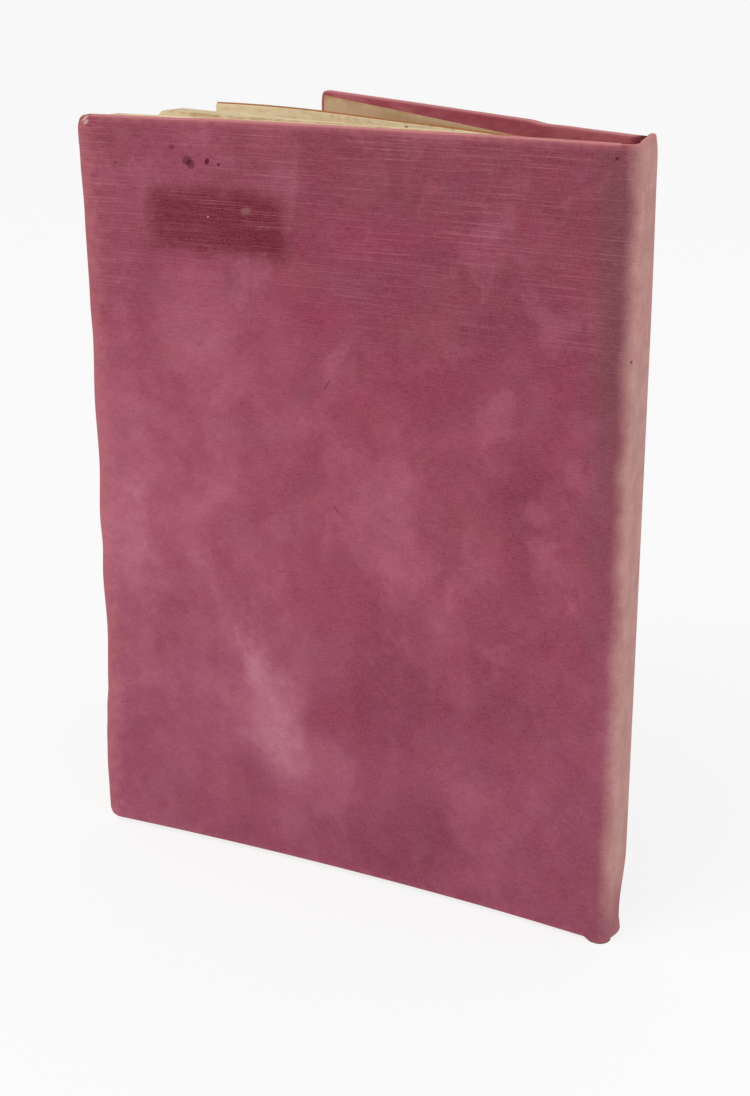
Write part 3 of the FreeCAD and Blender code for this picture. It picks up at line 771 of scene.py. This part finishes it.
LEAF_THICK = 0.1 * MM
LEAF_GAP = 0.012 * MM
LEAF_FALL = 0.12 * MM
EDGE_ROW = 1.5 * MM
CORNER_ROWS = 5
SECTION_SHARE = 0.35
GATHERING = 8
GROUP_ROOT = -80.0 * MM
GROUP_LIFT = 25.6 * MM
GROUP_FAN = 9.0 * MM
GROUP_THICK = 2.1 * MM
LOOSE_ROOT = -38.0 * MM
LOOSE_LIFT = 43.4 * MM
LOOSE_THICK = 0.9 * MM
BLOCK_LOW, BLOCK_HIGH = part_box("text_block")
PAPER_THICK = 0.2 * MM
ENDPAPER_ROOM = 0.65 * MM
PASTEDOWN_DEPTH = BOARD_FOLD + PAPER_THICK
BLOCK_DEPTH = PASTEDOWN_DEPTH + ENDPAPER_ROOM
CLOSED_THICK = 13.6 * MM
GROUP_TIP = BLOCK_LOW.x + 4.5 * MM
LOOSE_TIP = BLOCK_LOW.x + 9.1 * MM
GROUP_CORNER = 3.5 * MM
SAG_REACH = 75.0 * MM
SAG = 2.4 * MM
BOW_CENTRE_X = HINGES["back"].x - BOW_CENTRE


def bowed(x, depth):
    """A point behind the near cover's outer face, on its bow."""
    y = BACK_BOW - BOW_RADIUS + math.sqrt((BOW_RADIUS + depth) ** 2 - (x - BOW_CENTRE_X) ** 2)
    return Vector((x, y, 0))


def add_leaf(
    bm, tint, depth, tip_x, lift=0.0, root_x=0.0, swing=None, corner=0.0, taller=0.0, pieces=24,
):
    """One leaf from the spine to its fore edge, as a thin grid that Solidify thickens."""
    heights = [BLOCK_LOW.z + EDGE_ROW, BLOCK_HIGH.z - EDGE_ROW]
    if corner:
        heights = [BLOCK_LOW.z + corner, BLOCK_HIGH.z - corner]
        for i in range(1, CORNER_ROWS + 1):
            rise = corner * math.sin(i / CORNER_ROWS * math.pi / 2)
            heights.append(BLOCK_HIGH.z - corner + rise)
    else:
        heights.append(BLOCK_HIGH.z)
    heights.insert(0, BLOCK_LOW.z)
    made = bmesh.ops.create_grid(bm, x_segments=pieces, y_segments=len(heights) - 1, size=0.5)
    shade = bm.verts.layers.float["leaf"]
    fall = draw.uniform(-1.0, 0.0) * LEAF_FALL
    for vert in made["verts"]:
        share = vert.co.x + 0.5
        z = heights[round((vert.co.y + 0.5) * (len(heights) - 1))]
        rounded = 0.0
        if corner and z > BLOCK_HIGH.z - corner:
            rise = z - BLOCK_HIGH.z + corner
            rounded = corner - math.sqrt(max(corner ** 2 - rise ** 2, 0.0))
        end_x = tip_x + rounded
        x = BLOCK_HIGH.x + (end_x - BLOCK_HIGH.x) * share
        place = bowed(x, depth)
        if swing and x < root_x:
            place.y += lift * swing((root_x - x) / (root_x - tip_x))
        if z > (BLOCK_LOW.z + BLOCK_HIGH.z) / 2:
            z += taller + fall - SAG * ease((x + SAG_REACH) / SAG_REACH)
        vert.co = place + Vector((0, 0, z))
        vert[shade] = tint


def make_leaves(name, depth, count, tip_x, ragged, lift=0.0, fan=0.0, **shape):
    """A pack of leaves, each with its own tint and fore edge, the nearer ones lifting less."""
    bm = bmesh.new()
    bm.verts.layers.float.new("leaf")
    section = 0.0
    for i in range(count):
        if i % GATHERING == 0:
            section = draw.uniform(-1, 1) * ragged
        own = abs(section + draw.uniform(0.0, SECTION_SHARE) * ragged)
        share = (i + draw.uniform(0.0, 0.7)) / count
        own_lift = lift - fan * (1 - share)
        place = depth + (i + 0.5) * LEAF_THICK
        add_leaf(bm, draw.random(), place, tip_x + own, lift=own_lift, **shape)
    leaves = new_object(name, bm)
    for face in leaves.data.polygons:
        face.use_smooth = False
    thicken(leaves, LEAF_THICK - LEAF_GAP)
    return leaves


def curl_away(share):
    """The rise of a leaf that bends more and more towards its fore edge."""
    return max(share, 0.0) ** 1.5


closed_count = round(CLOSED_THICK / LEAF_THICK)
group_count = round(GROUP_THICK / LEAF_THICK)
loose_count = round(LOOSE_THICK / LEAF_THICK)
leaf_packs = [
    make_leaves("closed_leaves", BLOCK_DEPTH, closed_count, BLOCK_LOW.x, 0.35 * MM),
    make_leaves(
        "lifted_leaves", BLOCK_DEPTH + CLOSED_THICK, group_count, GROUP_TIP, 0.3 * MM,
        lift=GROUP_LIFT, fan=GROUP_FAN, root_x=GROUP_ROOT, swing=curl_away, corner=GROUP_CORNER,
        pieces=48,
    ),
    make_leaves(
        "loose_leaves", BLOCK_DEPTH + CLOSED_THICK + GROUP_THICK, loose_count, LOOSE_TIP, 0.15 * MM,
        lift=LOOSE_LIFT, root_x=LOOSE_ROOT, swing=ease, pieces=48,
    ),
]


def make_page_finish():
    """Cream paper that has browned from its edges inwards, each leaf with its own tint; the darkest tints
    are partly painted shade between the leaves.
    """
    finish = Finish("page_paper", 0.9)
    finish.shader.inputs["Specular IOR Level"].default_value = 0.15
    own = finish.add("Attribute", attribute_name="leaf").outputs["Fac"]
    axes = finish.add("SeparateXYZ", {"Vector": finish.place})
    clouds = finish.noise(finish.place, 22.0, 5.0, 0.6)
    streaks = finish.noise(finish.stretch(finish.place, (0.12, 1.0, 1.0)), 700.0, 3.0, 0.6)
    streaks = finish.ramp(streaks, 0.3, 0.7, -0.18, 0.18)
    # each leaf's own tint; the darkest few stand partly for painted shade in the gaps between leaves
    tone = finish.tones(finish.plus(own, streaks), (
        (0.0, (204, 172, 130)), (0.12, (228, 206, 168)), (0.5, (240, 223, 190)),
        (0.8, (246, 233, 204)), (1.0, (250, 240, 216)),
    ))
    tone = finish.mix(finish.ramp(clouds, 0.45, 0.75, 0.0, 0.3), tone, srgb(208, 172, 122))
    ragged = finish.ramp(finish.noise(finish.place, 90.0, 5.0, 0.6), 0.3, 0.7, -1.5 * MM, 1.5 * MM)
    from_fore = finish.plus(finish.minus(axes.outputs[0], BLOCK_LOW.x), ragged)
    near_fore = finish.ramp(from_fore, 9.0 * MM, 0.0, 0.0, 0.4)
    tone = finish.mix(near_fore, tone, srgb(190, 148, 96))
    # fine dark grey streaks along the leaves, in a band across the block from x -118 to -55 mm
    streak_noise = finish.noise(finish.stretch(finish.place, (0.35, 1.0, 1.0)), 420.0, 3.0, 0.6)
    grey_streaks = finish.ramp(streak_noise, 0.60, 0.70, 0.0, 0.75)
    streak_band = finish.ramp(axes.outputs[0], -118 * MM, -92 * MM)
    streak_band = finish.times(streak_band, finish.ramp(axes.outputs[0], -55 * MM, -75 * MM))
    tone = finish.mix(finish.times(grey_streaks, streak_band), tone, srgb(92, 94, 88))
    finish.colour(tone)
    finish.bump((finish.noise(finish.place, 1500.0), 0.1, 0.05 * MM))
    return finish.material


PAGE_FINISH = make_page_finish()
for leaves in leaf_packs:
    leaves.data.materials.append(PAGE_FINISH)
    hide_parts("text_block")
    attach(leaves, "root")


# Endpapers
# A folded sheet of tan paper at each end of the leaves: one half is pasted to the board over
# the turn-ins, the other is the flyleaf. Its fold lies in the joint and bends with the cover.

PAPER_SHOWN = PAPER_THICK * 0.8
PAPER_MARGIN = 2.8 * MM
PAPER_STEP = 1.6 * MM
PASTE_SUNK = 0.33 * MM
PASTED_ROWS = 0.0075
FOLD_ROWS = 24
FOLD_HEAD_GAP = 1.5 * MM
BROWNED_TALLER = 0.55 * MM
JOINT_DEPTH = 1.0 * MM
FLYLEAF_DEPTHS = {"back": PASTEDOWN_DEPTH + 0.4 * MM, "front": BLOCK_DEPTH + 16.85 * MM}


def make_endpaper_finish(name, light, dark, browned):
    """Tan paper, flecked and clouded, and browned along its head; on the flyleaf that deep head tone is
    partly painted shade.
    """
    finish = Finish(name, 0.9)
    finish.shader.inputs["Specular IOR Level"].default_value = 0.15
    axes = finish.add("SeparateXYZ", {"Vector": finish.place})
    clouds = finish.noise(finish.place, 30.0, 6.0, 0.6)
    flecks = finish.noise(finish.place, 650.0, 4.0, 0.7)
    tone = finish.mix(finish.ramp(clouds, 0.3, 0.7), dark, light)
    tone = finish.mix(finish.ramp(flecks, 0.55, 0.75, 0.0, 0.35), tone, browned)
    ragged = finish.ramp(finish.noise(finish.place, 120.0, 5.0, 0.6), 0.3, 0.7, -0.8 * MM, 0.8 * MM)
    from_head = finish.plus(finish.minus(BLOCK_HIGH.z, axes.outputs[2]), ragged)
    # darker along the head: browning, and on the flyleaf partly painted shade
    tone = finish.mix(finish.ramp(from_head, 3.0 * MM, 0.2 * MM, 0.0, 0.8), tone, browned)
    spots = finish.ramp(finish.noise(finish.place, 230.0, 2.0, 0.5), 0.72, 0.76, 0.0, 0.7)
    tone = finish.mix(spots, tone, srgb(92, 70, 56))
    finish.colour(tone)
    finish.bump((flecks, 0.1, 0.05 * MM), (clouds, 0.1, 0.6 * MM))
    return finish.material


ENDPAPER_FINISH = make_endpaper_finish(
    "endpaper", srgb(198, 166, 132), srgb(184, 150, 114), srgb(166, 122, 84),
)
# the flyleaf's deep brown along its head is partly browning, partly painted shade
FLYLEAF_FINISH = make_endpaper_finish(
    "flyleaf", srgb(220, 194, 150), srgb(204, 170, 120), srgb(172, 104, 56),
)
MULL_FLANGE = 25.0 * MM
PASTED_HEAD_MARGIN = {"back": 2.8 * MM, "front": 1.6 * MM}
PASTED_SKEW = {"back": 0.004, "front": 0.030}
STEP_SOFT = 1.6 * MM


def pasted_depth(reach, z):
    """The depth of the pasted paper: up on the turn-ins and the mull, down on the board."""
    off_fore = ease((COVER_REACH - TURN_IN - reach) / STEP_SOFT)
    off_mull = ease((reach - BOARD_TO_HINGE - MULL_FLANGE) / STEP_SOFT)
    off_foot = ease((z - COVER_FOOT - TURN_IN) / STEP_SOFT)
    off_head = ease((COVER_HEIGHT - TURN_IN - z) / STEP_SOFT)
    sunk = off_fore * off_mull * off_foot * off_head
    return PASTEDOWN_DEPTH - PAPER_THICK / 2 - PASTE_SUNK * sunk


def make_pastedown(side):
    """The pasted half of an endpaper, trimmed a little out of square at its head."""
    reaches = face_steps(BOARD_TO_HINGE, COVER_REACH - PAPER_MARGIN, PAPER_STEP)
    heights = face_steps(0.0, 1.0, PASTED_ROWS)
    bm = bmesh.new()
    bmesh.ops.create_grid(bm, x_segments=len(reaches) - 1, y_segments=len(heights) - 1, size=0.5)
    foot = COVER_FOOT + PAPER_MARGIN
    for vert in bm.verts:
        reach = reaches[round((vert.co.x + 0.5) * (len(reaches) - 1))]
        head = COVER_HEIGHT - PASTED_HEAD_MARGIN[side] - PASTED_SKEW[side] * (COVER_REACH - reach)
        z = foot + (head - foot) * (vert.co.y + 0.5)
        vert.co = on_cover(side, reach, pasted_depth(reach, z), z)
    bmesh.ops.recalc_face_normals(bm, faces=bm.faces)
    paper = new_object(f"{side}_pasted_paper", bm)
    paper.data.materials.append(ENDPAPER_FINISH)
    thicken(paper, PAPER_SHOWN)
    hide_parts(f"{side}_pastedown")
    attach(paper, f"{side}_cover")


def make_flyleaf(side, tip_x, **shape):
    """The free half of an endpaper, which lies with the leaves."""
    depth = FLYLEAF_DEPTHS[side] - LEAF_THICK / 2
    leaf = make_leaves(f"{side}_free_endpaper", depth, 1, tip_x, 0.0, **shape)
    leaf.modifiers["thickness"].thickness = PAPER_SHOWN
    leaf.data.materials.append(FLYLEAF_FINISH)
    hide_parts(f"{side}_flyleaf")
    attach(leaf, "root")


for side in HINGES:
    make_pastedown(side)
make_flyleaf("back", BLOCK_LOW.x)
make_flyleaf(
    "front", LOOSE_TIP, lift=LOOSE_LIFT, root_x=LOOSE_ROOT, swing=ease, taller=BROWNED_TALLER,
    pieces=48,
)


def joint_profile(side):
    """The fold's way from the pastedown into the joint and up to the flyleaf, cover closed."""
    flyleaf = bowed(BLOCK_HIGH.x, FLYLEAF_DEPTHS[side]) - HINGES[side]
    rise = abs(flyleaf.y) - HINGE_GAP
    low = flyleaf.x if side == "front" else 0.3 * MM
    return [
        Vector((-BOARD_TO_HINGE - 0.2 * MM, PASTEDOWN_DEPTH - PAPER_THICK / 2)),
        Vector((-BOARD_TO_HINGE + 0.25 * MM, BOARD_FOLD * 0.6)),
        Vector((-BOARD_TO_HINGE + 0.8 * MM, JOINT_DEPTH)),
        Vector((-0.6 * MM, JOINT_DEPTH)),
        Vector((low, JOINT_DEPTH + 0.5 * MM)),
        Vector((max(low, flyleaf.x) + 0.1 * MM, rise * 0.6)),
        Vector((flyleaf.x, rise)),
    ]


def make_paper_joint(side):
    """The fold of an endpaper, in the joint between its two halves."""
    profile = joint_profile(side)
    bm = bmesh.new()
    bmesh.ops.create_grid(bm, x_segments=len(profile) - 1, y_segments=FOLD_ROWS, size=0.5)
    for vert in bm.verts:
        step = round((vert.co.x + 0.5) * (len(profile) - 1))
        foot = COVER_FOOT + PAPER_MARGIN
        z = foot + (COVER_HEIGHT - PAPER_MARGIN - FOLD_HEAD_GAP - foot) * (vert.co.y + 0.5)
        run, depth = profile[step]
        if side == "front":
            vert.co = swing_open(Vector((run, -HINGE_GAP - depth, z)), -run)
        else:
            vert.co = HINGES[side] + Vector((run, HINGE_GAP + depth, z))
    bmesh.ops.recalc_face_normals(bm, faces=bm.faces)
    fold = new_object(f"{side}_endpaper_fold", bm)
    fold.data.materials.append(ENDPAPER_FINISH)
    soft = fold.modifiers.new("rounding", "SUBSURF")
    soft.levels = soft.render_levels = 2
    thicken(fold, PAPER_THICK)
    return fold


back_fold = make_paper_joint("back")
hinge = HINGES["back"]
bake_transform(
    back_fold, "root", "back_cover",
    start=(hinge.x - 0.2 * MM, hinge.y + 1.2 * MM, 0), end=(hinge.x - 2.0 * MM, hinge.y + 0.6 * MM, 0),
)
front_fold = make_paper_joint("front")
hinge = HINGES["front"]
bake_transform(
    front_fold, "root", "front_cover",
    start=(hinge.x + 0.6 * MM, hinge.y, 0),
    end=tuple(hinge + Matrix.Rotation(-OPEN_ANGLE, 3, "Z") @ Vector((-1.8 * MM, 0, 0))),
)


# Mull and spine card
# A strip of open gauze is glued over the back of the leaves and on to both boards, and a strip
# of grey card lies inside the spine cloth. Both show only in the hollow of the spine.

CARD_DEPTH = CLOTH_THICK + INLAY_THICK / 2
CARD_SHOWN = INLAY_THICK * 0.9
CARD_END_GAP = 0.9 * MM
GAUZE_PITCH = 1.1 * MM


def make_gauze_finish():
    """Open cotton gauze, stiff with old glue: pale threads with brown glue between them."""
    finish = Finish("mull_gauze", 0.9)
    axes = finish.add("SeparateXYZ", {"Vector": finish.place})
    across = finish.plus(axes.outputs[0], axes.outputs[1])
    threads = None
    for way in (across, axes.outputs[2]):
        wave = finish.calc("SINE", finish.times(way, 2 * math.pi / GAUZE_PITCH))
        ridge = finish.ramp(wave, 0.1, 0.7)
        threads = ridge if threads is None else finish.calc("MAXIMUM", threads, ridge)
    glue = finish.noise(finish.place, 180.0, 5.0, 0.6)
    ground = finish.mix(finish.ramp(glue, 0.3, 0.7), srgb(150, 112, 68), srgb(182, 146, 98))
    finish.colour(finish.mix(threads, ground, srgb(222, 208, 178)))
    finish.bump((threads, 0.8, 0.2 * MM), (glue, 0.3, 0.3 * MM))
    return finish.material


GAUZE_FINISH = make_gauze_finish()
for name in ("mull_spine", "back_mull_flange", "front_mull_flange"):
    nodes[name].data.materials.clear()
    nodes[name].data.materials.append(GAUZE_FINISH)


def make_spine_card():
    """The card inside the spine cloth, which follows its cap at the head and tail."""
    bm = bmesh.new()
    bmesh.ops.create_grid(bm, x_segments=10, y_segments=80, size=0.5)
    low_run = spine_length("back") - CASE_THICK / 2 + INLAY_MARGIN
    high_run = 2 * spine_length("back") - low_run
    for vert in bm.verts:
        run = low_run + (high_run - low_run) * (vert.co.x + 0.5)
        low, high = COVER_FOOT + CARD_END_GAP, COVER_HEIGHT - CARD_END_GAP
        z = low + (high - low) * (vert.co.y + 0.5)
        vert.co = on_cloth("back", run, CARD_DEPTH, z)
    bmesh.ops.recalc_face_normals(bm, faces=bm.faces)
    card = new_object("spine_card", bm)
    card.data.materials.append(BOARD_FINISH)
    thicken(card, CARD_SHOWN)
    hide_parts("spine_inlay")
    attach(card, "root")


make_spine_card()


# Setting
# A pale floor, soft studio light from above and in front, and a camera where the photograph
# was taken from: a little above the book, towards the spine side.

FLOOR_SIZE = 40.0
FLOOR_GLOW = 0.8
LIGHT_FROM_ROUND = 0.7
bm = bmesh.new()
bmesh.ops.create_grid(bm, x_segments=1, y_segments=1, size=FLOOR_SIZE / 2)
bmesh.ops.translate(bm, vec=(0, 0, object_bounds()[0][2]), verts=bm.verts)
floor = new_object("floor", bm)
finish = Finish("pale_floor", 0.9)
finish.colour(srgb(250, 250, 250))
rays = finish.add("LightPath").outputs
seen = finish.calc("MAXIMUM", rays["Is Camera Ray"], rays["Is Glossy Ray"])
paper_white = finish.add("Emission", {"Color": (1, 1, 1, 1), "Strength": 1.0})
backdrop = finish.add("MixShader", {0: finish.times(seen, FLOOR_GLOW)})
finish.feed(backdrop.inputs[1], finish.shader.outputs[0])
finish.feed(backdrop.inputs[2], paper_white.outputs[0])
finish.feed(finish.tree.nodes["Material Output"].inputs["Surface"], backdrop.outputs[0])
floor.data.materials.append(finish.material)

world = bpy.data.worlds.new("studio")
world.use_nodes = True
ambient = world.node_tree.nodes["Background"]
ambient.inputs["Color"].default_value = (1, 1, 1, 1)
rays = world.node_tree.nodes.new("ShaderNodeLightPath").outputs
strength = world.node_tree.nodes.new("ShaderNodeMapRange")
strength.inputs["To Min"].default_value = LIGHT_FROM_ROUND
strength.inputs["To Max"].default_value = 1.0
white = world.node_tree.nodes.new("ShaderNodeMath")
white.operation = "MAXIMUM"
world.node_tree.links.new(rays["Is Camera Ray"], white.inputs[0])
world.node_tree.links.new(rays["Is Glossy Ray"], white.inputs[1])
world.node_tree.links.new(white.outputs[0], strength.inputs["Value"])
world.node_tree.links.new(strength.outputs[0], ambient.inputs["Strength"])
bpy.context.scene.world = world


def make_lamp(name, size, power, place, aim):
    """A square soft lamp that looks at a point."""
    data = bpy.data.lights.new(name, "AREA")
    data.shape = "SQUARE"
    data.size = size
    data.energy = power
    lamp = bpy.data.objects.new(name, data)
    lamp.location = place
    lamp.rotation_mode = "QUATERNION"
    lamp.rotation_quaternion = (Vector(aim) - Vector(place)).to_track_quat("-Z", "Y")
    bpy.context.scene.collection.objects.link(lamp)


BOOK_MIDDLE = (-0.09, 0.02, 0.12)
make_lamp("key_light", 1.2, 9.0, (-0.6, -1.2, 1.5), BOOK_MIDDLE)
make_lamp("fill_light", 1.0, 4.0, (1.2, -0.9, 0.8), BOOK_MIDDLE)

CAMERA_PLACE = Vector((202.94, -522.63, 312.73)) * MM
CAMERA_YAW = math.radians(28.193)
CAMERA_PITCH = math.radians(17.995)
CAMERA_ROLL = math.radians(0.149)
PHOTO_LONG_SIDE = 1096
FOCAL_PIXELS = 1938.1
SENSOR = 36.0

camera_data = bpy.data.cameras.new("camera")
camera_data.sensor_width = SENSOR
camera_data.lens = FOCAL_PIXELS / PHOTO_LONG_SIDE * SENSOR
camera = bpy.data.objects.new("camera", camera_data)
bpy.context.scene.collection.objects.link(camera)
forward = Vector((
    -math.sin(CAMERA_YAW) * math.cos(CAMERA_PITCH),
    math.cos(CAMERA_YAW) * math.cos(CAMERA_PITCH),
    -math.sin(CAMERA_PITCH),
))
right = Vector((math.cos(CAMERA_YAW), math.sin(CAMERA_YAW), 0))
right = Matrix.Rotation(-CAMERA_ROLL, 3, forward) @ right
upward = right.cross(forward)
camera.matrix_world = Matrix((
    (right.x, upward.x, -forward.x, CAMERA_PLACE.x),
    (right.y, upward.y, -forward.y, CAMERA_PLACE.y),
    (right.z, upward.z, -forward.z, CAMERA_PLACE.z),
    (0, 0, 0, 1),
))
bpy.context.scene.camera = camera
bpy.context.scene.view_settings.view_transform = "Standard"
